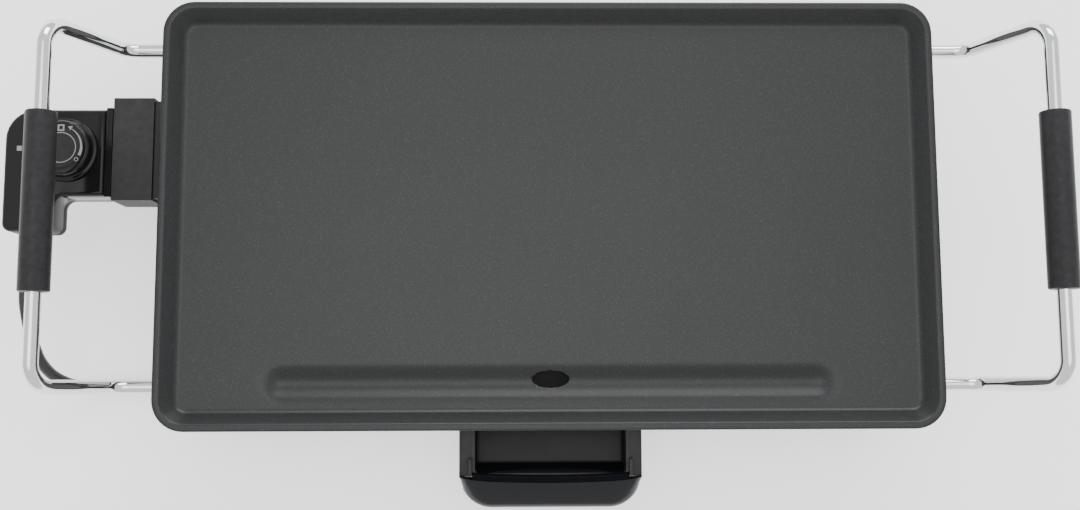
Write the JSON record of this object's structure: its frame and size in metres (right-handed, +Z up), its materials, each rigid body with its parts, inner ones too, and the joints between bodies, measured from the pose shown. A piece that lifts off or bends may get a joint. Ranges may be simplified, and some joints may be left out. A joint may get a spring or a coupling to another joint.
{
  "type": "electric griddle",
  "caption": "Table-top electric griddle with a rimmed coated plate, bent-rod lift handles, plug-in thermostat control with mains cord, and pull-out grease drawer.",
  "frame": {"origin": "middle of the appliance's footprint, on the table under its rubber feet, measured without the cord", "axes": "+X along the plate's length, towards the handle away from the control; +Y from the drawer to the back edge; +Z up"},
  "size_m": [0.6274, 0.3076, 0.1247],
  "materials": {
    "nonstick_coating": "fine-grained non-stick coating with metal flecks",
    "element_steel": "satin, heat-tinted",
    "plated_steel": "zinc plated",
    "chrome_rod": "bright chrome",
    "grip_plastic": "satin",
    "matte_black_plastic": "matte",
    "leg_plastic": "matte",
    "foot_rubber": "matte",
    "drawer_plastic": "semi-gloss",
    "lip_plastic": "gloss",
    "gloss_black_plastic": "gloss",
    "contact_brass": "plain",
    "ceramic": "unglazed",
    "white_print": "printed",
    "dial_plastic": "satin with printed ring",
    "cord_pvc": "satin"
  },
  "bodies": {
    "griddle": {"griddle_plate": "nonstick_coating", "heating_element": "element_steel", "terminal_pins": "plated_steel", "element_clamps": "plated_steel", "clamp_rivets": "plated_steel", "socket_bracket": "plated_steel", "bracket_screws": "plated_steel", "socket_shroud": "matte_black_plastic", "shroud_collar": "matte_black_plastic", "shroud_screws": "plated_steel", "left_handle_rod": "chrome_rod", "right_handle_rod": "chrome_rod", "left_grip": "grip_plastic", "right_grip": "grip_plastic", "leg_front_left": "leg_plastic", "leg_front_right": "leg_plastic", "leg_back_left": "leg_plastic", "leg_back_right": "leg_plastic", "foot_front_left": "foot_rubber", "foot_front_right": "foot_rubber", "foot_back_left": "foot_rubber", "foot_back_right": "foot_rubber", "leg_screws": "plated_steel", "left_drawer_rail": "leg_plastic", "right_drawer_rail": "leg_plastic", "rail_screws": "plated_steel"},
    "drawer": {"drawer_tray": "drawer_plastic", "drawer_handle": "lip_plastic"},
    "control": {"control_base": "gloss_black_plastic", "control_cover": "gloss_black_plastic", "contact_block": "gloss_black_plastic", "contact_clips": "contact_brass", "probe": "plated_steel", "thermostat_base": "ceramic", "switch_blades": "contact_brass", "control_screws": "plated_steel", "index_mark": "white_print", "cord_guard": "cord_pvc", "cord": "cord_pvc", "cord_coil": "cord_pvc", "cord_tie": "cord_pvc", "plug_body": "cord_pvc", "plug_pins": "plated_steel"},
    "knob": {"knob": "gloss_black_plastic", "knob_shaft": "plated_steel", "dial_plate": "dial_plastic"}
  },
  "joints": [
    {"name": "drawer_slide", "type": "slide", "parent": "griddle", "child": "drawer", "axis": [0, -1, 0], "range_m": [0, 0.08]},
    {"name": "control_unplug", "type": "slide", "parent": "griddle", "child": "control", "axis": [-1, 0, 0], "range_m": [0, 0.085]},
    {"name": "knob_turn", "type": "hinge", "parent": "control", "child": "knob", "pos_m": [-0.27572, 0.06275, 0.07], "axis": [0, 0, -1], "range_deg": [0, 270]}
  ]
}
